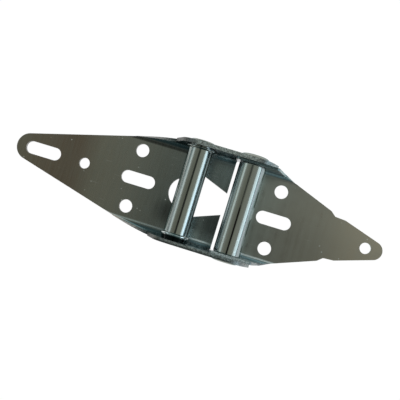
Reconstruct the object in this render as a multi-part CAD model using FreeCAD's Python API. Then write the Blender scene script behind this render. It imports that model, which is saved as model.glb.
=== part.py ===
import FreeCAD, Part
import math
import os
from FreeCAD import Vector

# A garage door hinge for one roller: two folded, plated steel leaves and two rolled tubes.
# Millimetres. The origin is on the pivot's axis, midway between the flanges. +X runs along the
# hinge to the right leaf's tip, +Y runs along the pivot, and +Z points away from the door.
# Heights are measured from the door's face, and distances "out" along X from the pivot's axis.

# Sheets and heights
left_sheet = 2.0
right_sheet = 1.3
pivot_height = 14.0
flange_height = 23.5
ear_height = 22.3

# Across the hinge
inside_width = 51.4
left_bend_radius = 3.45
ear_clearance = 0.08
shoulder_clearance = 0.07
running_clearance = 0.05

# Holes that both leaves share
screw_spacing = 31.75
screw_hole_diameter = 7.3
small_hole_diameter = 6.0
slot_width = 7.0
middle_slot_length = 19.2

# Left leaf, plate
left_tip_out = 129.0
left_tip_radius = 7.45
tip_slot_out = 113.5
tip_slot_length = 20.4
small_hole_out = 89.35
left_screws_out = 60.35
left_slot_out = 58.1
left_fold_out = 67.0
left_plate_end_out = 9.3
fold_step_out = 65.6
fold_step_run = 0.65
fold_taper = 11.9
fold_end_sweep = 3.0
fold_end_sweep_from = 20.0

# Left leaf, cut-out under the roller tube
window_circle_out = 31.8
window_circle_diameter = 17.0
window_wide_out = 27.5
window_wide_width = 25.9
window_narrow_width = 12.1
window_offset = 0.6
window_corner_radius = 1.5

# Left leaf, flanges
flange_back_out = 43.5
flange_back_lean = 21.5
flange_back_radius = 9.5
nose_out = 13.1
nose_knee_height = 11.9
nose_lean = 25.0
nose_radius = 9.5
nose_knee_radius = 4.0
nose_foot_radius = 3.0

# Right leaf, plate
right_plate_start_out = 0.0
right_screws_out = 18.5
right_slot_out = 18.8
right_fold_out = 25.1
notch_out = 47.0
notch_width_before = 27.75
notch_length = 2.7
notch_width_after = 23.1
shoulder_length = 5.8
shoulder_width_end = 22.3
notch_radius = 1.2
tip_hole_out = 69.5
right_tip_out = 78.7
right_tip_radius = 5.0

# Right leaf, ears
ear_back_out = 9.0
ear_back_radius = 1.5
ear_back_foot_height = 8.5
ear_back_foot_radius = 2.0
ear_foot_out = 17.7
ear_lean = 11.8
ear_front_radius = 1.5
ear_sweep = 1.55

# Pivot tube
pivot_tube_diameter = 14.3
pivot_neck_diameter = 12.9
pivot_bore_diameter = 11.5
pivot_flare_top_diameter = 16.2
pivot_flare_top = 1.5
pivot_flare_bottom_diameter = 14.0
pivot_flare_bottom = 0.75
pivot_shoulder_round = 0.6
seam_start = 2.0
seam_gap_start = 0.12
seam_gap_end = 0.32

# Roller tube
roller_tube_out = 28.5
roller_tube_diameter = 12.9
roller_bore_diameter = 11.3
bead_diameter = 15.7
bead_width = 1.1
bead_gap_top = 0.45
bead_fillet = 0.35
bead_gap_bottom = 2.65
roller_flare_diameter = 13.7
roller_flare_top = 1.1

# Tube ends
mouth_chamfer = 0.25
flare_rim_share = 0.2
flare_fullness = 0.6

# Values that follow from the sizes above
back_z = -pivot_height
flange_inner_y = inside_width / 2
flange_outer_y = flange_inner_y + left_sheet
fold_y = flange_inner_y - left_bend_radius
left_outer_radius = left_bend_radius + left_sheet
ear_outer_y = flange_inner_y - ear_clearance
ear_inner_y = ear_outer_y - right_sheet
right_outer_radius = ear_outer_y - fold_y
shoulder_y = ear_inner_y - shoulder_clearance

# How far the cutters reach past the material
cut_margin = 1.0
cut_depth = max(left_sheet, right_sheet) + 2 * cut_margin
trim_reach = 12.0
trim_past_fold = 3.0
trim_step = 15


def on_plate(u, v, level):
    """Point of an outline drawn on the plate: u along X, v along Y, at the given Z."""
    return Vector(u, v, level)


def on_side(u, v, level):
    """Point of an outline drawn on a flange: u along X, v along Z, at the given Y."""
    return Vector(u, level, v)


def rounded_wire(corners, place, level):
    """Closed wire through (u, v, radius) corners, each rounded by a tangent arc of its radius."""
    rounded = []
    for i, (u, v, radius) in enumerate(corners):
        before = corners[i - 1]
        after = corners[(i + 1) % len(corners)]
        corner = Vector(u, v, 0)
        if radius == 0:
            rounded.append((corner, corner, corner))
            continue
        to_before = Vector(before[0] - u, before[1] - v, 0).normalize()
        to_after = Vector(after[0] - u, after[1] - v, 0).normalize()
        half = to_before.getAngle(to_after) / 2
        reach = radius / math.tan(half)
        inward = (to_before + to_after).normalize()
        middle = corner + inward * (radius / math.sin(half) - radius)
        rounded.append((corner + to_before * reach, middle, corner + to_after * reach))
    edges = []
    for i, points in enumerate(rounded):
        start, middle, end = [place(p.x, p.y, level) for p in points]
        onward = rounded[(i + 1) % len(rounded)][0]
        following = place(onward.x, onward.y, level)
        if corners[i][2] > 0:
            edges.append(Part.Arc(start, middle, end).toShape())
        if end.distanceToPoint(following) > 1e-6:
            edges.append(Part.LineSegment(end, following).toShape())
    return Part.Wire(edges)


def plate_prism(corners, bottom, thickness):
    """Flat sheet with a rounded outline on the plate."""
    face = Part.Face(rounded_wire(corners, on_plate, bottom))
    return face.extrude(Vector(0, 0, thickness))


def side_prism(corners, side, inner_y, thickness):
    """Upright sheet with a rounded outline, on the side of Y that is +1 or -1."""
    face = Part.Face(rounded_wire(corners, on_side, side * inner_y))
    return face.extrude(Vector(0, side * thickness, 0))


def round_hole(x, y, diameter):
    """Cutter for a round hole through a plate."""
    return Part.makeCylinder(diameter / 2, cut_depth, Vector(x, y, back_z - cut_margin))


def slot_hole(x, length):
    """Cutter for a round-ended slot along X, centred on the hinge's middle line."""
    straight = length - slot_width
    corner = Vector(x - straight / 2, -slot_width / 2, back_z - cut_margin)
    middle = Part.makeBox(straight, slot_width, cut_depth, corner)
    near = round_hole(x - straight / 2, 0, slot_width)
    far = round_hole(x + straight / 2, 0, slot_width)
    return middle.fuse([near, far])


def cross_hole(x, diameter):
    """Cutter along Y for the holes that a tube passes through."""
    reach = flange_outer_y + cut_margin
    return Part.makeCylinder(diameter / 2, 2 * reach, Vector(x, -reach, 0), Vector(0, 1, 0))


def tip_taper(tip_out, radius, corner_out, corner_y):
    """Angle between the middle line and a straight edge from a corner to the round tip."""
    run = tip_out - radius - corner_out
    return math.atan2(corner_y, run) - math.asin(radius / math.hypot(run, corner_y))


def tip_apex(tip_out, radius, corner_out, corner_y):
    """Distance out at which the two straight edges beside the round tip would meet."""
    taper = tip_taper(tip_out, radius, corner_out, corner_y)
    return tip_out - radius + radius / math.sin(taper)


def mirrored(upper):
    """Outline corners on the upper side, followed by the same ones mirrored on the lower."""
    return upper + [(u, -v, radius) for u, v, radius in reversed(upper) if v > 0]


def bend(side, outer_radius, sheet, x_low, x_high):
    """Quarter-round fold along X, from the plate's level up to the flange."""
    inner_radius = outer_radius - sheet
    centre = Vector(x_low, side * fold_y, back_z + outer_radius)

    def at(radius, angle):
        turn = math.radians(angle)
        return centre + Vector(0, side * radius * math.sin(turn), -radius * math.cos(turn))

    edges = [
        Part.Arc(at(outer_radius, 0), at(outer_radius, 45), at(outer_radius, 90)).toShape(),
        Part.LineSegment(at(outer_radius, 90), at(inner_radius, 90)).toShape(),
        Part.Arc(at(inner_radius, 90), at(inner_radius, 45), at(inner_radius, 0)).toShape(),
        Part.LineSegment(at(inner_radius, 0), at(outer_radius, 0)).toShape(),
    ]
    return Part.Face(Part.Wire(edges)).extrude(Vector(x_high - x_low, 0, 0))


def bend_trim(side, outer_radius, sheet, edge_x, far_x, knees):
    """Cutter that trims a fold square to its sheet; edge_x gives the edge's X at each angle."""
    low = outer_radius - sheet - cut_margin
    high = outer_radius + cut_margin
    centre = Vector(0, side * fold_y, back_z + outer_radius)
    angles = [-trim_past_fold, 90 + trim_past_fold] + list(range(0, 91, trim_step)) + knees
    sections = []
    for angle in sorted(set(angles)):
        turn = math.radians(angle)
        outward = Vector(0, side * math.sin(turn), -math.cos(turn))
        near = centre + Vector(edge_x(angle), 0, 0)
        far = centre + Vector(far_x, 0, 0)
        corners = [near + outward * low, near + outward * high]
        corners += [far + outward * high, far + outward * low]
        sections.append(Part.makePolygon(corners + corners[:1]))
    return Part.makeLoft(sections, True, True)


# Through the fold the left leaf's edge steps out, then tapers until it meets the flange's back.
# Runs are measured round the fold at the middle of the sheet.
left_middle_radius = left_outer_radius - left_sheet / 2
fold_length = left_middle_radius * math.pi / 2
step_slope = fold_step_run / (left_fold_out - fold_step_out)
fold_slope = math.tan(math.radians(fold_taper))
back_slope = math.tan(math.radians(flange_back_lean))
knee_reach = fold_step_out - flange_back_out + fold_step_run / fold_slope - fold_length * back_slope
knee_run = knee_reach / (1 / fold_slope - back_slope)
left_knees = [math.degrees(run / left_middle_radius) for run in (fold_step_run, knee_run)]


def left_edge_x(angle):
    """X of the left leaf's edge where it crosses the fold, at an angle round the fold."""
    run = left_middle_radius * math.radians(angle)
    along_step = -left_fold_out + run / step_slope
    along_taper = -fold_step_out + (run - fold_step_run) / fold_slope
    along_flange = -flange_back_out + (run - fold_length) * back_slope
    return min(max(along_step, along_taper), along_flange)


def left_end_x(angle):
    """X of the fold's other end, which sweeps out from the plate's end to the flange."""
    past = max(angle - fold_end_sweep_from, 0) / (90 - fold_end_sweep_from)
    return -left_plate_end_out + fold_end_sweep * past ** 2


def right_edge_x(angle):
    """X of the right leaf's edge where it sweeps up through the fold to the ear."""
    left_over = min(max(1 - angle / 90, 0), 1)
    return ear_foot_out + (right_fold_out - ear_foot_out) * left_over ** ear_sweep


def window_wedge():
    """Cutter for the tapering part of the cut-out, open at the plate's end, a little off centre."""
    wide = window_wide_width / 2
    narrow = window_narrow_width / 2
    slope = (wide - narrow) / (window_wide_out - left_plate_end_out)
    corners = mirrored([
        (-left_plate_end_out + cut_margin, narrow - slope * cut_margin, 0),
        (-window_wide_out, wide, window_corner_radius),
    ])
    shifted = [(u, v + window_offset, radius) for u, v, radius in corners]
    return plate_prism(shifted, back_z - cut_margin, cut_depth)


def make_left_leaf():
    """Left leaf: tapered plate and two tall flanges that carry both tubes."""
    apex = tip_apex(left_tip_out, left_tip_radius, left_fold_out, fold_y)
    leaf = plate_prism(mirrored([
        (-left_plate_end_out, fold_y, 0),
        (-left_fold_out, fold_y, 0),
        (-apex, 0, left_tip_radius),
    ]), back_z, left_sheet)
    foot_z = back_z + left_outer_radius
    top_z = back_z + flange_height
    rise = top_z - foot_z
    knee_z = back_z + nose_knee_height
    nose_run = (top_z - knee_z) * math.tan(math.radians(nose_lean))
    side_corners = [
        (-flange_back_out, foot_z, 0),
        (-flange_back_out + rise * back_slope, top_z, flange_back_radius),
        (nose_out - nose_run, top_z, nose_radius),
        (nose_out, knee_z, nose_knee_radius),
        (nose_out, foot_z, nose_foot_radius),
    ]
    end_x = -left_plate_end_out + fold_end_sweep
    back_far = -left_fold_out - trim_reach
    end_far = end_x + trim_reach
    for side in (1, -1):
        fold = bend(side, left_outer_radius, left_sheet, -left_fold_out, end_x)
        back = bend_trim(side, left_outer_radius, left_sheet, left_edge_x, back_far, left_knees)
        end = bend_trim(side, left_outer_radius, left_sheet, left_end_x, end_far, [fold_end_sweep_from])
        flange = side_prism(side_corners, side, flange_inner_y, left_sheet)
        leaf = leaf.fuse([fold.cut([back, end]), flange])
    cutters = [
        slot_hole(-tip_slot_out, tip_slot_length),
        slot_hole(-left_slot_out, middle_slot_length),
        round_hole(-small_hole_out, 0, small_hole_diameter),
        round_hole(-left_screws_out, screw_spacing / 2, screw_hole_diameter),
        round_hole(-left_screws_out, -screw_spacing / 2, screw_hole_diameter),
        round_hole(-window_circle_out, 0, window_circle_diameter),
        window_wedge(),
        cross_hole(0, pivot_neck_diameter),
        cross_hole(-roller_tube_out, roller_tube_diameter),
    ]
    return leaf.cut(cutters).removeSplitter()


def make_right_leaf():
    """Right leaf: notched plate and two ears that turn on the pivot inside the flanges."""
    notch_end = notch_out + notch_length
    shoulder_end = notch_end + shoulder_length
    shoulder_half = shoulder_width_end / 2
    apex = tip_apex(right_tip_out, right_tip_radius, shoulder_end, shoulder_half)
    leaf = plate_prism(mirrored([
        (right_plate_start_out, fold_y, 0),
        (right_fold_out, fold_y, 0),
        (notch_out, notch_width_before / 2, notch_radius),
        (notch_end, notch_width_after / 2, notch_radius),
        (shoulder_end, shoulder_half, notch_radius),
        (apex, 0, right_tip_radius),
    ]), back_z, right_sheet)
    foot_z = back_z + right_outer_radius
    top_z = back_z + ear_height
    front_run = (top_z - foot_z) * math.tan(math.radians(ear_lean))
    side_corners = [
        (right_plate_start_out, foot_z, 0),
        (-ear_back_out, back_z + ear_back_foot_height, ear_back_foot_radius),
        (-ear_back_out, top_z, ear_back_radius),
        (ear_foot_out - front_run, top_z, ear_front_radius),
        (ear_foot_out, foot_z, 0),
    ]
    far = right_fold_out + trim_reach
    for side in (1, -1):
        fold = bend(side, right_outer_radius, right_sheet, right_plate_start_out, right_fold_out)
        trim = bend_trim(side, right_outer_radius, right_sheet, right_edge_x, far, [])
        ear = side_prism(side_corners, side, ear_inner_y, right_sheet)
        leaf = leaf.fuse([fold.cut(trim), ear])
    cutters = [
        slot_hole(right_slot_out, middle_slot_length),
        round_hole(right_screws_out, screw_spacing / 2, screw_hole_diameter),
        round_hole(right_screws_out, -screw_spacing / 2, screw_hole_diameter),
        round_hole(tip_hole_out, 0, small_hole_diameter),
        cross_hole(0, pivot_neck_diameter + 2 * running_clearance),
    ]
    return leaf.cut(cutters).removeSplitter()


def turned(points, x):
    """Solid of revolution about the line along Y at the given X.

    The closed profile is a list of (r, y, bulge) points, where bulge is None for a straight run
    to the next point, or the (r, y) point that an arc to the next point passes through.
    """
    edges = []
    for i, (r, y, bulge) in enumerate(points):
        onward = points[(i + 1) % len(points)]
        first = Vector(x + r, y, 0)
        last = Vector(x + onward[0], onward[1], 0)
        if bulge is None:
            edges.append(Part.LineSegment(first, last).toShape())
        else:
            edges.append(Part.Arc(first, Vector(x + bulge[0], bulge[1], 0), last).toShape())
    face = Part.Face(Part.Wire(edges))
    return face.revolve(Vector(x, 0, 0), Vector(0, 1, 0), 360)


def flare(bore, tube, rim, proud):
    """Profile points of an upper tube end spread over the flange, from the tube to the bore."""
    crest = bore + mouth_chamfer
    crest_y = flange_outer_y + proud
    rim_y = flange_outer_y + proud * flare_rim_share
    bulge = (crest + (rim - crest) * flare_fullness, rim_y + (crest_y - rim_y) * flare_fullness)
    return [
        (tube, flange_outer_y, None),
        (rim, flange_outer_y, None),
        (rim, rim_y, bulge),
        (crest, crest_y, None),
        (bore, crest_y - mouth_chamfer, None),
    ]


def flipped(points):
    """The same profile points mirrored to the lower end, followed the other way."""
    lower = []
    for i in reversed(range(len(points))):
        bulge = points[i - 1][2] if i > 0 else None
        if bulge is not None:
            bulge = (bulge[0], -bulge[1])
        lower.append((points[i][0], -points[i][1], bulge))
    return lower


def make_pivot_tube():
    """Pivot tube: shoulders against the ears, necks through the holes, ends spread outside."""
    bore = pivot_bore_diameter / 2
    neck = pivot_neck_diameter / 2
    body = pivot_tube_diameter / 2
    top_rim = pivot_flare_top_diameter / 2
    bottom_rim = pivot_flare_bottom_diameter / 2
    rounded_y = shoulder_y - pivot_shoulder_round
    rounded_r = body - pivot_shoulder_round
    inset = pivot_shoulder_round * (1 - math.sqrt(0.5))
    profile = flipped(flare(bore, neck, bottom_rim, pivot_flare_bottom))
    profile += [
        (neck, -shoulder_y, None),
        (rounded_r, -shoulder_y, (body - inset, inset - shoulder_y)),
        (body, -rounded_y, None),
        (body, rounded_y, (body - inset, shoulder_y - inset)),
        (rounded_r, shoulder_y, None),
        (neck, shoulder_y, None),
    ]
    profile += flare(bore, neck, top_rim, pivot_flare_top)
    tube = turned(profile, 0)
    seam = Part.makePolygon([
        Vector(-seam_gap_start / 2, seam_start, 0),
        Vector(seam_gap_start / 2, seam_start, 0),
        Vector(seam_gap_end / 2, -flange_outer_y, 0),
        Vector(-seam_gap_end / 2, -flange_outer_y, 0),
        Vector(-seam_gap_start / 2, seam_start, 0),
    ])
    return tube.cut(Part.Face(seam).extrude(Vector(0, 0, body + cut_margin)))


def bead(centre_y, rim):
    """Profile points of a bead's full-round rim, from its lower side to its upper side."""
    half = bead_width / 2
    return [
        (rim - half, centre_y - half, (rim, centre_y)),
        (rim - half, centre_y + half, None),
    ]


def fillet(tube, y, side):
    """Profile points of a hollow curve at the tube, on the side of Y (+1 or -1) of a bead."""
    inset = bead_fillet * (1 - math.sqrt(0.5))
    bulge = (tube + inset, y + side * inset)
    near = (tube + bead_fillet, y)
    far = (tube, y + side * bead_fillet)
    if side > 0:
        return [near + (bulge,), far + (None,)]
    return [far + (bulge,), near + (None,)]


def make_roller_tube():
    """Roller tube: a bead inside each flange, its upper end spread and its lower end flush.

    Below the lower bead the tube tapers to the flange's hole.
    """
    bore = roller_bore_diameter / 2
    body = roller_tube_diameter / 2
    rim = bead_diameter / 2
    half = bead_width / 2
    top_bead_y = flange_inner_y - bead_gap_top - half
    low_bead_y = bead_gap_bottom + half - flange_inner_y
    profile = [
        (bore, mouth_chamfer - flange_outer_y, None),
        (bore + mouth_chamfer, -flange_outer_y, None),
        (body, -flange_outer_y, None),
        (body, shoulder_clearance - flange_inner_y, None),
    ]
    profile += bead(low_bead_y, rim)
    profile += fillet(body, low_bead_y + half, 1)
    profile += fillet(body, top_bead_y - half, -1)
    profile += bead(top_bead_y, rim)
    profile.append((body, top_bead_y + half, None))
    profile += flare(bore, body, roller_flare_diameter / 2, roller_flare_top)
    return turned(profile, -roller_tube_out)


parts = {
    "left_leaf": make_left_leaf(),
    "right_leaf": make_right_leaf(),
    "pivot_tube": make_pivot_tube(),
    "roller_tube": make_roller_tube(),
}

os.makedirs("parts", exist_ok=True)
for node, shape in parts.items():
    solid = shape.Solids[0]
    solid.exportStep("parts/" + node + ".step")
    box = solid.BoundBox
    print(node, len(shape.Solids), "solid, valid", solid.isValid(), "volume", round(solid.Volume, 1))
    print("  from", round(box.XMin, 2), round(box.YMin, 2), round(box.ZMin, 2),
          "to", round(box.XMax, 2), round(box.YMax, 2), round(box.ZMax, 2))
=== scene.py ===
import math

import bpy
from mathutils import Matrix, Vector

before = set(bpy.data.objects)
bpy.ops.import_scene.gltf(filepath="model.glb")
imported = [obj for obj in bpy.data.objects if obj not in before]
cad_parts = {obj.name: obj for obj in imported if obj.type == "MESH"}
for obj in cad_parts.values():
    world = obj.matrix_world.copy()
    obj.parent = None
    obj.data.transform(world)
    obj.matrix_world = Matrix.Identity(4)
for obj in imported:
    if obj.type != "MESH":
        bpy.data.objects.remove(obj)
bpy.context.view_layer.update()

MM = 0.001

# Camera, in millimetres of the hinge's own frame
CAMERA_PLACE = Vector((6.48, -9.53, 333.7)) * MM
CAMERA_AIM = Vector((-22.26, -0.95, -12.0)) * MM
CAMERA_TURN = math.radians(16.868)
CAMERA_LENS = 57.6

# Heights in millimetres: the backs, the faces of the plates and the tops of the rims
BACK_Z = -14.0
LEFT_FACE_Z = -12.0
RIGHT_FACE_Z = -12.7
FLANGE_TOP_Z = 9.5
EAR_TOP_Z = 8.3

# Places across the hinge, in millimetres of Y or of the distance from the middle line
MIDDLE = (-1.0, 1.0)
PLATE_LEAN = (-12.0, 12.0)
BEND_FOOT_SHADE = (20.9, 21.6, 22.5, 23.0)
LOWER_CREASE_HIGHLIGHT = (-22.8, -22.4, -22.0, -21.5)
BEND_STEP = (21.7, 22.7)
BEND_START = (22.5, 22.9)
BEND_FADE = 0.5
SHADED_RIM = (-27.3, -26.2)

# Places along the hinge, in millimetres of X
BEND_FOOT_SHADE_FADES = (-32.0, -20.0)
RIM_SHADE_ENDS = (1.0, 6.0)
BORDER_ENDS = (-46.0, -44.5)
HINGE_ENDS = (-129.0, 79.0)

# Plain tones of the plating, and of light and shade painted on it
WHITE = (1.0, 1.0, 1.0, 1.0)
ROLLED_LINE = (0.6, 0.61, 0.57, 1.0)
SCRATCH = (1.0, 1.0, 0.98, 1.0)
ROLLED_BORDER_TONE = (0.85, 0.64, 0.54, 1.0)
TUBE_PATCH = (0.36, 0.37, 0.34, 1.0)
TUBE_SPECK = (0.8, 0.82, 0.82, 1.0)
TUBE_LIP_HIGHLIGHT = (0.95, 1.0, 0.98, 1.0)
TUBE_TINT = (0.45, 0.52, 0.53, 1.0)


# Node groups


class Tree:
    """Builds nodes and links in one node tree, with short calls for what is used most."""

    def __init__(self, tree):
        self.tree = tree

    def add(self, kind, **settings):
        """A new node with its settings."""
        node = self.tree.nodes.new(kind)
        for name, value in settings.items():
            setattr(node, name, value)
        return node

    def put(self, socket, value):
        """Links an output socket to an input, or sets the input's own value."""
        if isinstance(value, bpy.types.NodeSocket):
            self.tree.links.new(value, socket)
        else:
            socket.default_value = value

    def fill(self, node, *values):
        """Puts values into a node's first inputs, in order."""
        for socket, value in zip(node.inputs, values):
            self.put(socket, value)

    def math(self, operation, first, second=0.0, third=0.0):
        """One sum, product or other operation on up to three numbers."""
        node = self.add("ShaderNodeMath", operation=operation)
        self.fill(node, first, second, third)
        return node.outputs[0]

    def times(self, first, *others):
        """The product of several numbers."""
        for other in others:
            first = self.math("MULTIPLY", first, other)
        return first

    def factor(self, mask, change):
        """1 plus a mask times a change."""
        return self.math("MULTIPLY_ADD", mask, change, 1.0)

    def span(self, value, low, high, out_low=0.0, out_high=1.0):
        """Smooth step of a value from one range to another, held at both ends."""
        node = self.add("ShaderNodeMapRange", interpolation_type="SMOOTHSTEP")
        self.fill(node, value, low, high, out_low, out_high)
        return node.outputs[0]

    def band(self, value, places):
        """Mask that rises between the first two places and falls between the last two."""
        start, full, fading, end = places
        return self.times(self.span(value, start, full), self.span(value, fading, end, 1.0, 0.0))

    def mix(self, share, first, second):
        """Blend of two colours by a share from 0 to 1."""
        node = self.add("ShaderNodeMix", data_type="RGBA")
        self.put(node.inputs["Factor"], share)
        self.put(node.inputs[6], first)
        self.put(node.inputs[7], second)
        return node.outputs[2]

    def blend(self, share, first, second):
        """Blend of two numbers by a share from 0 to 1."""
        node = self.add("ShaderNodeMix", data_type="FLOAT")
        self.put(node.inputs["Factor"], share)
        self.put(node.inputs[2], first)
        self.put(node.inputs[3], second)
        return node.outputs[0]

    def scaled(self, colour, factor):
        """A colour multiplied by a number."""
        node = self.add("ShaderNodeVectorMath", operation="SCALE")
        self.put(node.inputs[0], colour)
        self.put(node.inputs["Scale"], factor)
        return node.outputs[0]

    def stretched(self, vector, scale):
        """The coordinates multiplied along each axis."""
        node = self.add("ShaderNodeVectorMath", operation="MULTIPLY")
        self.fill(node, vector, scale)
        return node.outputs[0]

    def noise(self, vector, scale=1.0, detail=2.0, roughness=0.5):
        """Noise from 0 to 1, in cells of 1 / scale metres."""
        node = self.add("ShaderNodeTexNoise")
        self.put(node.inputs["Vector"], vector)
        self.put(node.inputs["Scale"], scale)
        self.put(node.inputs["Detail"], detail)
        self.put(node.inputs["Roughness"], roughness)
        return node.outputs["Fac"]

    def parts(self, vector):
        """A vector's X, Y and Z."""
        node = self.add("ShaderNodeSeparateXYZ")
        self.put(node.inputs[0], vector)
        return node.outputs

    def millimetres(self, vector, axes="XY"):
        """The named coordinates of a place, in millimetres."""
        parts = self.parts(vector)
        return [self.math("DIVIDE", parts[axis], MM) for axis in axes]

    def ramp(self, value, stops):
        """Colour and alpha read off plain stops, each a place and a colour of 3 or 4 numbers."""
        node = self.add("ShaderNodeValToRGB")
        elements = node.color_ramp.elements
        while len(elements) < len(stops):
            elements.new(0.5)
        low, reach = stops[0][0], stops[-1][0] - stops[0][0]
        for element, (place, colour) in zip(elements, stops):
            element.position = (place - low) / reach
            element.color = colour if len(colour) == 4 else (*colour, 1.0)
        self.fill(node, self.math("MULTIPLY_ADD", value, 1.0 / reach, -low / reach))
        return node.outputs

    def group(self, tree, **values):
        """Places a node group, with its inputs by name (spaces written as underscores)."""
        node = self.add("ShaderNodeGroup", node_tree=tree)
        for name, value in values.items():
            self.put(node.inputs[name.replace("_", " ")], value)
        return node.outputs


def new_group(name, inputs, outputs):
    """An empty node group, with its sockets' names listed under their kinds."""
    tree = bpy.data.node_groups.new(name, "ShaderNodeTree")
    for side, sockets in (("INPUT", inputs), ("OUTPUT", outputs)):
        for kind, labels in sockets.items():
            for label in labels:
                tree.interface.new_socket(label, in_out=side, socket_type="NodeSocket" + kind)
    build = Tree(tree)
    given = build.add("NodeGroupInput").outputs
    return tree, build, given, build.add("NodeGroupOutput").inputs


def rolling_grain():
    """Faint lines left by the rolling mill: noise drawn out across the hinge, fine along it."""
    tree, build, given, out = new_group(
        "Rolling grain", {"Vector": ["Vector"]}, {"Float": ["Lines", "Bands"]})
    fine = build.stretched(given["Vector"], (2600.0, 60.0, 2600.0))
    broad = build.stretched(given["Vector"], (420.0, 14.0, 420.0))
    build.put(out["Lines"], build.noise(fine, detail=3.0, roughness=0.6))
    build.put(out["Bands"], build.noise(broad))
    return tree


def plating_cloud():
    """Slow drift of the zinc plating's tone, as soft patches and a finer mottle inside them."""
    tree, build, given, out = new_group(
        "Plating cloud", {"Vector": ["Vector"]}, {"Float": ["Patches", "Mottle"]})
    build.put(out["Patches"], build.noise(given["Vector"], 28.0))
    build.put(out["Mottle"], build.noise(given["Vector"], 260.0, 4.0, 0.65))
    return tree


def handling_marks():
    """Specks and hair scratches from handling: rare small cells, and thin wandering lines."""
    tree, build, given, out = new_group(
        "Handling marks", {"Vector": ["Vector"]}, {"Float": ["Specks", "Hairs"]})
    cells = build.add("ShaderNodeTexVoronoi", feature="F1")
    build.put(cells.inputs["Vector"], given["Vector"])
    build.put(cells.inputs["Scale"], 520.0)
    chosen = build.span(build.parts(cells.outputs["Color"])[0], 0.93, 0.96)
    near = build.span(cells.outputs["Distance"], 0.08, 0.26, 1.0, 0.0)
    build.put(out["Specks"], build.times(chosen, near))
    slanted = build.add("ShaderNodeMapping")
    build.put(slanted.inputs["Vector"], given["Vector"])
    build.put(slanted.inputs["Rotation"], (0.0, 0.0, 0.5))
    build.put(slanted.inputs["Scale"], (90.0, 1500.0, 1500.0))
    ridge = build.noise(slanted.outputs[0], detail=1.0, roughness=0.4)
    build.put(out["Hairs"], build.span(ridge, 0.735, 0.76))
    return tree


def sheared_edge():
    """Mask of the sheet's cut edges, with the coarse grain of torn metal.

    An edge faces along the sheet: sideways at the plate's level, or up along a flange's rim.
    The faces of the flanges point along Y and those of the plate along Z, so neither counts.
    """
    tree, build, given, out = new_group(
        "Sheared edge",
        {"Vector": ["Vector", "Normal"], "Float": ["Rim Z", "Face Z"]},
        {"Float": ["Edge", "Grain"]})
    [height] = build.millimetres(given["Vector"], "Z")
    facing = build.parts(given["Normal"])
    sideways = build.span(build.math("ABSOLUTE", facing[0]), 0.1, 0.2)
    level = build.math("SUBTRACT", 1.0, build.math("ABSOLUTE", facing[2]))
    low = build.math("LESS_THAN", height, build.math("ADD", given["Face Z"], 0.05))
    wall = build.times(build.math("GREATER_THAN", level, 0.9), low)
    high = build.math("GREATER_THAN", height, build.math("SUBTRACT", given["Rim Z"], 0.2))
    rim = build.times(high, build.math("GREATER_THAN", facing[2], 0.7))
    build.put(out["Edge"], build.math("MAXIMUM", build.math("MAXIMUM", sideways, wall), rim))
    torn = build.stretched(given["Vector"], (1.0, 1.0, 0.6))
    build.put(out["Grain"], build.noise(torn, 1200.0, 5.0, 0.8))
    return tree


def plate_tone():
    """Tone of a flat plate: its drift with brown patches, a lean across it and a strip of painted
    shade.

    The lean makes one side darker and the other lighter by the same share. The strip is painted
    shade along the foot of the upper bend, and is darkest at the left.
    """
    tree, build, given, out = new_group(
        "Plate tone",
        {"Vector": ["Vector"], "Color": ["Drift", "Brown"], "Float": ["Patches", "Lean"]},
        {"Color": ["Color"]})
    along, across = build.millimetres(given["Vector"])
    browned = build.span(given["Patches"], 0.35, 0.7, 0.0, 0.3)
    face = build.mix(browned, given["Drift"], given["Brown"])
    darker = build.math("SUBTRACT", 1.0, given["Lean"])
    lighter = build.math("ADD", 1.0, given["Lean"])
    face = build.scaled(face, build.span(across, *PLATE_LEAN, darker, lighter))
    # Painted shade: a darker strip of the plate along the foot of the upper bend.
    shade_depth = build.span(along, *BEND_FOOT_SHADE_FADES, -0.7, -0.1)
    face = build.scaled(face, build.factor(build.band(across, BEND_FOOT_SHADE), shade_depth))
    build.put(out["Color"], face)
    return tree


def fold_light_and_shade():
    """Painted light and shade of the folds along both sides of a plate, and the step a fold starts
    with.

    A fold's painted reflected tone takes over as the face turns towards Y. The upright walls are
    painted lighter, the lower one most, and the upper one is painted darker. The bend is painted
    dark with shade as far out as its end, and a thin painted highlight runs along the foot of the
    lower one.
    """
    tree, build, given, out = new_group(
        "Fold light and shade",
        {"Vector": ["Vector", "Normal"], "Color": ["Plate", "Fold"], "Float": ["Bend End"]},
        {"Color": ["Color"], "Float": ["Step"]})
    [across] = build.millimetres(given["Vector"], "Y")
    outward = build.math("ABSOLUTE", across)
    tilt = build.math("ABSOLUTE", build.parts(given["Normal"])[1])
    upright = build.span(tilt, 0.8, 0.97)
    # Painted light: upright walls are painted lighter, the lower one most, and the upper one
    # darker.
    whiter = build.times(upright, build.span(across, *MIDDLE, 0.75, 0.4))
    wall = build.mix(whiter, given["Fold"], WHITE)
    wall = build.scaled(wall, build.factor(upright, build.span(across, *MIDDLE, 0.0, -0.4)))
    face = build.mix(build.span(tilt, 0.15, 0.4), given["Plate"], wall)
    # Painted shade: the bend is darkened out to its end.
    fading = build.math("SUBTRACT", given["Bend End"], BEND_FADE)
    bend = build.band(outward, (*BEND_START, fading, given["Bend End"]))
    face = build.scaled(face, build.factor(bend, -0.45))
    # Painted highlight: a thin light line along the foot of the lower fold.
    crease = build.band(across, LOWER_CREASE_HIGHLIGHT)
    build.put(out["Color"], build.mix(crease, face, build.scaled(given["Fold"], 1.3)))
    build.put(out["Step"], build.span(outward, *BEND_STEP, 0.0, 10.0))
    return tree


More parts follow.
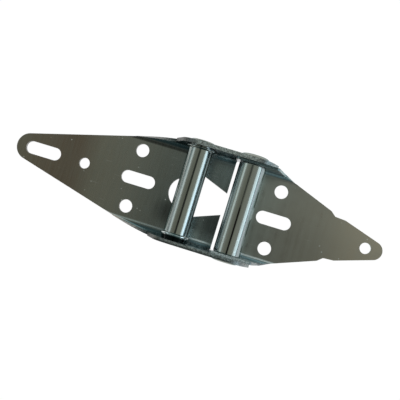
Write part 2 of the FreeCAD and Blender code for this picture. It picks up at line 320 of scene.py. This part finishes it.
def marked_face():
    """A face with the mill's pale lines and the marks of handling laid over it."""
    tree, build, given, out = new_group(
        "Marked face",
        {"Color": ["Color"], "Float": ["Lines", "Specks", "Hairs"]},
        {"Color": ["Color"]})
    lined = build.mix(build.span(given["Lines"], 0.3, 0.75, 0.0, 0.1), given["Color"], ROLLED_LINE)
    marks = build.math("MAXIMUM", given["Specks"], build.times(given["Hairs"], 0.2))
    build.put(out["Color"], build.mix(build.times(marks, 0.8), lined, SCRATCH))
    return tree


def edge_grain_and_light():
    """Tone of the cut edges, which differs between the lower and the upper side as painted light
    and shade.

    On slopes, which face along X, each side's tone changes by its own share of painted light. The
    outer half of the lower rim is painted dark with shade up to its right nose, and torn grain runs
    over all of it.
    """
    tree, build, given, out = new_group(
        "Edge grain and light",
        {"Vector": ["Vector", "Normal"], "Color": ["Lower", "Upper"],
         "Float": ["Lower Slope", "Upper Slope", "Grain"]},
        {"Color": ["Color"]})
    along, across = build.millimetres(given["Vector"])
    cut = build.mix(build.span(across, *MIDDLE), given["Lower"], given["Upper"])
    slope = build.span(build.math("ABSOLUTE", build.parts(given["Normal"])[0]), 0.02, 0.25)
    change = build.span(across, *MIDDLE, given["Lower Slope"], given["Upper Slope"])
    cut = build.scaled(cut, build.factor(slope, change))
    # Painted shade on the outer half of the lower rim, fading out past its right nose.
    rim_shade = build.span(along, *RIM_SHADE_ENDS, 0.3, 1.0)
    cut = build.scaled(cut, build.span(across, *SHADED_RIM, rim_shade, 0.9))
    build.put(out["Color"], build.scaled(cut, build.span(given["Grain"], 0.4, 0.62, 0.5, 1.6)))
    return tree


def satin_finish():
    """Roughness and height of rolled sheet: bands, lines and mottle, and coarse cut edges."""
    tree, build, given, out = new_group(
        "Satin finish",
        {"Float": ["Roughness", "Lines", "Bands", "Mottle", "Edge", "Grain", "Step"]},
        {"Float": ["Roughness", "Height"]})
    satin = build.math("ADD", given["Roughness"], build.span(given["Bands"], 0.3, 0.7, -0.03, 0.03))
    satin = build.math("ADD", satin, build.span(given["Mottle"], 0.3, 0.7, -0.02, 0.03))
    coarse = build.span(given["Grain"], 0.3, 0.7, 0.32, 0.6)
    build.put(out["Roughness"], build.blend(given["Edge"], satin, coarse))
    height = build.math("ADD", build.times(given["Lines"], 0.3), build.times(given["Mottle"], 0.2))
    height = build.math("ADD", height, build.times(given["Edge"], given["Grain"], 5.0))
    build.put(out["Height"], build.math("ADD", height, given["Step"]))
    return tree


def drawn_lines():
    """Fine lines round a tube, from rolling it: noise stretched along X and Z."""
    tree, build, given, out = new_group(
        "Drawn lines", {"Vector": ["Vector"]}, {"Float": ["Lines"]})
    lines = build.stretched(given["Vector"], (90.0, 2400.0, 90.0))
    build.put(out["Lines"], build.noise(lines, detail=3.0, roughness=0.6))
    return tree


def tube_tone():
    """Tone of a tube: painted reflections round it, with patches, specks, a seam, and painted light
    and shade at its neck.

    The closed seam is a dark line at the Middle, on the side away from the door, and fades out
    past its end. The neck below Neck Y is painted black as shade, and just above it a bright band
    is a painted highlight on the bead's crest.
    """
    tree, build, given, out = new_group(
        "Tube tone",
        {"Vector": ["Vector", "Normal"], "Color": ["Round"],
         "Float": ["Patches", "Specks", "Middle", "Seam End", "Seam Share", "Neck Y"]},
        {"Color": ["Color"]})
    along, across = build.millimetres(given["Vector"])
    patched = build.span(given["Patches"], 0.3, 0.7, 0.0, 0.3)
    face = build.mix(patched, given["Round"], TUBE_PATCH)
    face = build.mix(build.times(given["Specks"], 0.35), face, TUBE_SPECK)
    off = build.math("ABSOLUTE", build.math("SUBTRACT", along, given["Middle"]))
    on_top = build.span(build.parts(given["Normal"])[2], 0.8, 0.9)
    seam_gone = build.math("ADD", given["Seam End"], 4.0)
    seam = build.times(build.span(off, 0.25, 0.6, 1.0, 0.0), on_top,
                       build.span(across, given["Seam End"], seam_gone, 1.0, 0.0))
    face = build.scaled(face, build.factor(seam, build.times(given["Seam Share"], -1.0)))
    # Painted shade: the neck below Neck Y is darkened nearly to black; painted highlight: a bright
    # band just above it.
    above = build.math("SUBTRACT", across, given["Neck Y"])
    lip_highlight = build.times(build.band(above, (0.0, 0.2, 0.9, 1.2)), 0.7)
    face = build.mix(lip_highlight, face, TUBE_LIP_HIGHLIGHT)
    build.put(out["Color"], build.scaled(face, build.span(above, -0.3, 0.0, 0.06, 1.0)))
    return tree


GRAIN = rolling_grain()
CLOUD = plating_cloud()
MARKS = handling_marks()
EDGE = sheared_edge()
PLATE = plate_tone()
FOLD_LIGHT_AND_SHADE = fold_light_and_shade()
MARKED = marked_face()
EDGE_GRAIN_AND_LIGHT = edge_grain_and_light()
SATIN = satin_finish()
DRAWN = drawn_lines()
TUBE = tube_tone()


# Materials


def metal(name):
    """A new material with a metal Principled shader; returns its tree builder and shader."""
    material = bpy.data.materials.new(name)
    material.use_nodes = True
    material.node_tree.nodes.clear()
    build = Tree(material.node_tree)
    shader = build.add("ShaderNodeBsdfPrincipled")
    shader.inputs["Metallic"].default_value = 1.0
    output = build.add("ShaderNodeOutputMaterial")
    build.put(output.inputs["Surface"], shader.outputs[0])
    return material, build, shader


def roughen(build, shader, height, strength, distance):
    """Bumps a shader's surface by a height, over a distance in millimetres."""
    bump = build.add("ShaderNodeBump")
    build.put(bump.inputs["Strength"], strength)
    build.put(bump.inputs["Distance"], distance * MM)
    build.put(bump.inputs["Height"], height)
    build.put(shader.inputs["Normal"], bump.outputs[0])


def shade_and_light_patched(build, face, along, across, shade_and_light_patches):
    """A face with round patches of painted shade and painted highlight, each darker or lighter by a
    share towards its middle.

    The distance from a bloom's middle is measured in its own reach along X and along Y.
    """
    for middle_x, middle_y, reach_x, reach_y, share in shade_and_light_patches:
        aside = build.math("MULTIPLY_ADD", along, 1.0 / reach_x, -middle_x / reach_x)
        above = build.math("MULTIPLY_ADD", across, 1.0 / reach_y, -middle_y / reach_y)
        squares = build.math("ADD", build.times(aside, aside), build.times(above, above))
        face = build.scaled(face, build.span(build.math("SQRT", squares), 0.2, 1.0, share, 1.0))
    return face


def rolled_border(build, face, along, across, slope, start):
    """A face with the pale border of the left leaf's lower flange, begun by a white line.

    The border is the cut edge's tone together with painted light on its rolled-over slope, and the
    white line is a painted highlight. The border lies below the line Y = slope * X + start, and
    ends at the flange's nose.
    """
    past = build.math("SUBTRACT", build.math("MULTIPLY_ADD", along, slope, start), across)
    shown = build.span(along, *BORDER_ENDS, 1.0, 0.0)
    face = build.mix(build.times(build.span(past, 0.0, 0.3), shown), face, ROLLED_BORDER_TONE)
    # Painted highlight: a white line where the border begins.
    line = build.band(past, (-0.25, 0.0, 0.15, 0.4))
    return build.mix(build.times(line, shown), face, WHITE)


def plated_sheet(name, drift, folds, edges, slopes, brown, lean, bend_end, rim_z, face_z,
                 roughness, shade_and_light_patches=(), border=None):
    """Zinc-plated rolled sheet, satin, with grainy sheared edges.

    The drift, the folds and the lower and upper edges are tones at places along X, as stops in
    millimetres; the fold and edge tones are painted light and shade. The slopes are the changes of
    the edges' tone where they slope, as painted light. Only the left leaf has patches of painted
    shade and light, and a border.
    """
    material, build, shader = metal(name)
    coordinates = build.add("ShaderNodeTexCoord").outputs
    place, normal = coordinates["Object"], coordinates["Normal"]
    along, across = build.millimetres(place)
    grain = build.group(GRAIN, Vector=place)
    cloud = build.group(CLOUD, Vector=place)
    marks = build.group(MARKS, Vector=place)
    edge = build.group(EDGE, Vector=place, Normal=normal, Rim_Z=rim_z, Face_Z=face_z)

    plate = build.group(PLATE, Vector=place, Drift=build.ramp(along, drift)[0], Brown=brown,
                        Patches=cloud["Patches"], Lean=lean)["Color"]
    plate = shade_and_light_patched(build, plate, along, across, shade_and_light_patches)
    walls = build.group(FOLD_LIGHT_AND_SHADE, Vector=place, Normal=normal, Plate=plate,
                        Fold=build.ramp(along, folds)[0], Bend_End=bend_end)
    face = walls["Color"]
    if border:
        face = rolled_border(build, face, along, across, *border)
    face = build.group(MARKED, Color=face, Lines=grain["Lines"], Specks=marks["Specks"],
                       Hairs=marks["Hairs"])["Color"]
    lower, upper = [build.ramp(along, stops)[0] for stops in edges]
    cut = build.group(EDGE_GRAIN_AND_LIGHT, Vector=place, Normal=normal, Lower=lower, Upper=upper,
                      Lower_Slope=slopes[0], Upper_Slope=slopes[1], Grain=edge["Grain"])["Color"]
    build.put(shader.inputs["Base Color"], build.mix(edge["Edge"], face, cut))

    satin = build.group(SATIN, Roughness=roughness, Lines=grain["Lines"], Bands=grain["Bands"],
                        Mottle=cloud["Mottle"], Edge=edge["Edge"], Grain=edge["Grain"],
                        Step=walls["Step"])
    build.put(shader.inputs["Roughness"], satin["Roughness"])
    roughen(build, shader, satin["Height"], 0.25, 0.04)
    return material


def plated_tube(name, tones, middle, seam_end, seam_share, neck_y, roughness):
    """Zinc-plated rolled tube, bright, with fine lines round it.

    Its tones are given round the tube, by how far a place faces along X, from -1 to 1; they are
    painted reflections, with bands of painted highlight and painted shade towards its sides.
    """
    material, build, shader = metal(name)
    shader.inputs["Specular Tint"].default_value = TUBE_TINT
    coordinates = build.add("ShaderNodeTexCoord").outputs
    place, normal = coordinates["Object"], coordinates["Normal"]
    cloud = build.group(CLOUD, Vector=place)
    marks = build.group(MARKS, Vector=place)
    drawn = build.group(DRAWN, Vector=place)["Lines"]
    face = build.group(TUBE, Vector=place, Normal=normal,
                       Round=build.ramp(build.parts(normal)[0], tones)[0],
                       Patches=cloud["Patches"], Specks=marks["Specks"], Middle=middle,
                       Seam_End=seam_end, Seam_Share=seam_share, Neck_Y=neck_y)["Color"]
    build.put(shader.inputs["Base Color"], face)
    sheen = build.math("ADD", roughness, build.span(drawn, 0.3, 0.7, -0.02, 0.04))
    build.put(shader.inputs["Roughness"], sheen)
    roughen(build, shader, build.math("ADD", drawn, cloud["Mottle"]), 0.12, 0.02)
    return material


def wear(node, material):
    """Gives a node of the hinge its finish."""
    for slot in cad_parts[node].material_slots:
        slot.material = material


def even(colour):
    """One tone over the hinge's whole length."""
    return [(end, colour) for end in HINGE_ENDS]


LEFT_DRIFT = [
    (-129.0, (0.268, 0.235, 0.18)),
    (-112.0, (0.255, 0.202, 0.15)),
    (-100.0, (0.228, 0.17, 0.124)),
    (-94.0, (0.238, 0.178, 0.132)),
    (-82.0, (0.33, 0.305, 0.247)),
    (-64.0, (0.335, 0.327, 0.28)),
    (-44.0, (0.255, 0.272, 0.25)),
    (-20.0, (0.33, 0.4, 0.4)),
    (12.0, (0.33, 0.4, 0.4)),
]
# Painted shade and light around the roller tube: two darker patches, beside it and between the
# tubes, and one lighter patch by its lower right side, a painted highlight.
LEFT_SHADE_AND_LIGHT_PATCHES = [
    (-35.0, -12.0, 14.0, 11.0, 0.38),
    (-12.0, -12.0, 9.0, 11.0, 0.4),
    (-21.5, -20.5, 6.0, 5.0, 1.9),
]
# Painted reflections on the left leaf's folds, with a painted highlight from X = -20 to -11.
LEFT_FOLD_REFLECTIONS = [
    (-90.0, (0.5, 0.52, 0.5)),
    (-54.0, (0.42, 0.44, 0.42)),
    (-38.0, (0.25, 0.27, 0.27)),
    (-28.0, (0.4, 0.43, 0.44)),
    (-20.0, (0.72, 0.76, 0.78)),
    (-15.0, (0.85, 0.92, 0.95)),
    (-11.0, (0.27, 0.3, 0.3)),
    (12.0, (0.5, 0.52, 0.5)),
]
# Lower and upper rim tones are lit and shaded copies of one cut edge; the pale blue at the upper
# rim's right end is a painted glint.
LEFT_LOWER_EDGE = [
    (-90.0, (0.5, 0.5, 0.47)),
    (-48.0, (0.5, 0.5, 0.47)),
    (-44.0, (0.27, 0.28, 0.25)),
    (-36.0, (0.27, 0.28, 0.25)),
    (-33.0, (0.5, 0.5, 0.47)),
    (12.0, (0.49, 0.53, 0.52)),
]
LEFT_UPPER_EDGE = [
    (-90.0, (0.66, 0.66, 0.62)),
    (-48.0, (0.66, 0.66, 0.62)),
    (-44.0, (0.36, 0.37, 0.34)),
    (-36.0, (0.36, 0.37, 0.34)),
    (-33.0, (0.66, 0.66, 0.62)),
    (4.0, (0.66, 0.66, 0.62)),
    (9.0, (0.79, 0.95, 0.96)),
    (12.0, (0.79, 0.95, 0.96)),
]
RIGHT_DRIFT = [
    (5.0, (0.6, 0.63, 0.56)),
    (12.0, (0.48, 0.49, 0.44)),
    (26.0, (0.455, 0.425, 0.365)),
    (44.0, (0.49, 0.446, 0.375)),
    (58.0, (0.6, 0.525, 0.42)),
    (78.0, (0.6, 0.525, 0.42)),
]
# Painted reflections round each tube: the bright bands are painted highlights of the windows, and
# the dark ends are painted shade at the tube's sides.
PIVOT_PAINTED_REFLECTIONS = [
    (-1.0, (0.05, 0.06, 0.06)),
    (-0.92, (0.06, 0.07, 0.07)),
    (-0.86, (0.4, 0.48, 0.48)),
    (-0.78, (0.95, 1.0, 1.0)),
    (-0.7, (0.95, 1.0, 1.0)),
    (-0.6, (0.33, 0.35, 0.31)),
    (-0.4, (0.36, 0.38, 0.34)),
    (0.0, (0.3, 0.315, 0.275)),
    (0.55, (0.31, 0.33, 0.3)),
    (0.66, (0.5, 0.56, 0.54)),
    (0.78, (0.31, 0.38, 0.42)),
    (0.88, (0.38, 0.46, 0.47)),
    (0.95, (0.29, 0.34, 0.32)),
    (1.0, (0.25, 0.27, 0.24)),
]
ROLLER_PAINTED_REFLECTIONS = [
    (-1.0, (0.1, 0.12, 0.12)),
    (-0.92, (0.13, 0.16, 0.15)),
    (-0.84, (0.34, 0.4, 0.39)),
    (-0.7, (0.24, 0.27, 0.25)),
    (-0.6, (0.62, 0.66, 0.64)),
    (-0.5, (0.42, 0.44, 0.42)),
    (-0.4, (0.32, 0.33, 0.29)),
    (0.0, (0.3, 0.315, 0.275)),
    (0.5, (0.32, 0.34, 0.3)),
    (0.6, (0.42, 0.46, 0.44)),
    (0.7, (0.5, 0.58, 0.6)),
    (0.79, (0.68, 0.81, 0.84)),
    (0.86, (0.3, 0.36, 0.38)),
    (0.93, (0.07, 0.09, 0.09)),
    (1.0, (0.05, 0.06, 0.06)),
]

wear("left_leaf", plated_sheet(
    "left leaf plating", drift=LEFT_DRIFT, folds=LEFT_FOLD_REFLECTIONS,
    edges=(LEFT_LOWER_EDGE, LEFT_UPPER_EDGE), slopes=(-0.4, -0.6),
    brown=(0.27, 0.262, 0.215, 1.0), lean=0.0, bend_end=24.7, rim_z=FLANGE_TOP_Z,
    face_z=LEFT_FACE_Z, roughness=0.27, shade_and_light_patches=LEFT_SHADE_AND_LIGHT_PATCHES, border=(-0.152, -32.0)))
# The right leaf's near-white fold tone is painted reflection, and its pale lower and dark upper
# edge tones are painted light and shade.
wear("right_leaf", plated_sheet(
    "right leaf plating", drift=RIGHT_DRIFT, folds=even((0.93, 0.98, 1.0)),
    edges=(even((0.9, 0.97, 0.98)), even((0.17, 0.22, 0.22))), slopes=(-0.65, 1.0),
    brown=(0.46, 0.42, 0.34, 1.0), lean=0.09, bend_end=23.3, rim_z=EAR_TOP_Z,
    face_z=RIGHT_FACE_Z, roughness=0.32))
wear("pivot_tube", plated_tube(
    "pivot tube plating", PIVOT_PAINTED_REFLECTIONS, middle=0.1, seam_end=-1.0, seam_share=0.85,
    neck_y=-40.0, roughness=0.16))
wear("roller_tube", plated_tube(
    "roller tube plating", ROLLER_PAINTED_REFLECTIONS, middle=-28.1, seam_end=40.0, seam_share=0.5,
    neck_y=-23.15, roughness=0.16))


# Studio

# Tones of the room by degrees from straight above: across the hinge, and along its tubes, where
# the last number is the share by which the room's ends cover the overhead
ROOM_OVERHEAD = [
    (-90.0, (0.45, 0.51, 0.53)),
    (-45.0, (0.4, 0.42, 0.4)),
    (-28.0, (0.3, 0.315, 0.28)),
    (-11.0, (0.3, 0.315, 0.275)),
    (-6.0, (0.1, 0.11, 0.1)),
    (0.0, (0.03, 0.033, 0.031)),
    (6.0, (0.1, 0.11, 0.1)),
    (11.0, (0.42, 0.44, 0.39)),
    (45.0, (0.44, 0.46, 0.43)),
    (90.0, (0.55, 0.68, 0.75)),
]
ROOM_ENDS = [
    (-90.0, (0.045, 0.085, 0.09, 1.0)),
    (-30.0, (0.045, 0.085, 0.09, 1.0)),
    (-14.0, (0.17, 0.2, 0.2, 1.0)),
    (-7.0, (0.2, 0.23, 0.22, 0.0)),
    (7.0, (0.42, 0.48, 0.46, 0.0)),
    (13.0, (0.42, 0.48, 0.46, 1.0)),
    (34.0, (0.11, 0.19, 0.2, 1.0)),
    (90.0, (0.11, 0.19, 0.2, 1.0)),
]
FLOOR_HALF = 4.0
FLOOR_GAP = 0.05
FLOOR_PAPER = (0.9, 0.9, 0.9, 1.0)
FLOOR_WHITE = 1.1
WINDOW_DISTANCE = 0.7


def studio_world():
    """A dim room round the hinge.

    Its tone is set across X by the angle from straight above, atan(x / z): paler to the right,
    and dark in a small patch overhead where the camera hangs. By atan(y / z) it gives way to the
    room's cooler ends, the one towards +Y being the brighter, with a pale strip at its near side.
    """
    world = bpy.data.worlds.new("studio")
    bpy.context.scene.world = world
    world.use_nodes = True
    world.node_tree.nodes.clear()
    build = Tree(world.node_tree)
    direction = build.parts(build.add("ShaderNodeTexCoord").outputs["Generated"])
    across, along = [build.math("DEGREES", build.math("ARCTAN2", part, direction[2]))
                     for part in direction[:2]]
    overhead = build.ramp(across, ROOM_OVERHEAD)[0]
    ends = build.ramp(along, ROOM_ENDS)
    back = build.add("ShaderNodeBackground")
    build.put(back.inputs["Color"], build.mix(ends[1], overhead, ends[0]))
    output = build.add("ShaderNodeOutputWorld")
    build.put(output.inputs["Surface"], back.outputs[0])


def shows_background(build):
    """1 for rays that see the background as the camera does: camera, glossy and transmission."""
    path = build.add("ShaderNodeLightPath").outputs
    first = build.math("MAXIMUM", path["Is Camera Ray"], path["Is Glossy Ray"])
    return build.math("MAXIMUM", first, path["Is Transmission Ray"])


def studio_floor():
    """A large white floor just under the hinge's back, which still takes a soft shadow."""
    half, z = FLOOR_HALF, (BACK_Z - FLOOR_GAP) * MM
    mesh = bpy.data.meshes.new("studio_floor")
    mesh.from_pydata([(-half, -half, z), (half, -half, z), (half, half, z), (-half, half, z)],
                     [], [(0, 1, 2, 3)])
    floor = bpy.data.objects.new("studio_floor", mesh)
    bpy.context.scene.collection.objects.link(floor)
    material = bpy.data.materials.new("white floor")
    material.use_nodes = True
    material.node_tree.nodes.clear()
    build = Tree(material.node_tree)
    paper = build.add("ShaderNodeBsdfDiffuse")
    paper.inputs["Color"].default_value = FLOOR_PAPER
    white = build.add("ShaderNodeEmission")
    white.inputs["Strength"].default_value = FLOOR_WHITE
    both = build.add("ShaderNodeMixShader")
    share = build.times(shows_background(build), 0.9)
    build.fill(both, share, paper.outputs[0], white.outputs[0])
    output = build.add("ShaderNodeOutputMaterial")
    build.put(output.inputs["Surface"], both.outputs[0])
    mesh.materials.append(material)


def window(name, azimuth, elevation, width, height, radiance, colour):
    """A soft rectangular light that faces the hinge, of a given radiance from the hinge."""
    light = bpy.data.lights.new(name, "AREA")
    light.shape = "RECTANGLE"
    light.size = width
    light.size_y = height
    light.energy = radiance * math.pi * width * height
    light.color = colour
    lamp = bpy.data.objects.new(name, light)
    turn, rise = math.radians(azimuth), math.radians(elevation)
    flat = math.cos(rise)
    place = Vector((flat * math.cos(turn), flat * math.sin(turn), math.sin(rise)))
    lamp.location = place * WINDOW_DISTANCE
    lamp.rotation_euler = (-place).to_track_quat("-Z", "Y").to_euler()
    bpy.context.scene.collection.objects.link(lamp)


def photograph_camera():
    """Camera of the photograph: nearly square on, with the hinge's length turned in the picture."""
    data = bpy.data.cameras.new("camera")
    data.lens = CAMERA_LENS
    data.sensor_width = 36.0
    data.clip_start = 0.01
    camera = bpy.data.objects.new("camera", data)
    bpy.context.scene.collection.objects.link(camera)
    ahead = (CAMERA_AIM - CAMERA_PLACE).normalized()
    across = Vector((math.cos(CAMERA_TURN), math.sin(CAMERA_TURN), 0.0))
    right = (across - ahead * across.dot(ahead)).normalized()
    up = right.cross(ahead)
    turned = Matrix((right, up, -ahead)).transposed()
    camera.matrix_world = Matrix.Translation(CAMERA_PLACE) @ turned.to_4x4()
    bpy.context.scene.camera = camera


studio_world()
studio_floor()
window("right window", azimuth=0.0, elevation=23.0, width=0.7, height=0.34, radiance=1.45,
       colour=(0.83, 1.0, 1.15))
window("left window", azimuth=180.0, elevation=31.0, width=0.6, height=0.2, radiance=0.8,
       colour=(0.84, 1.0, 1.1))
photograph_camera()
bpy.context.scene.view_settings.view_transform = "Standard"
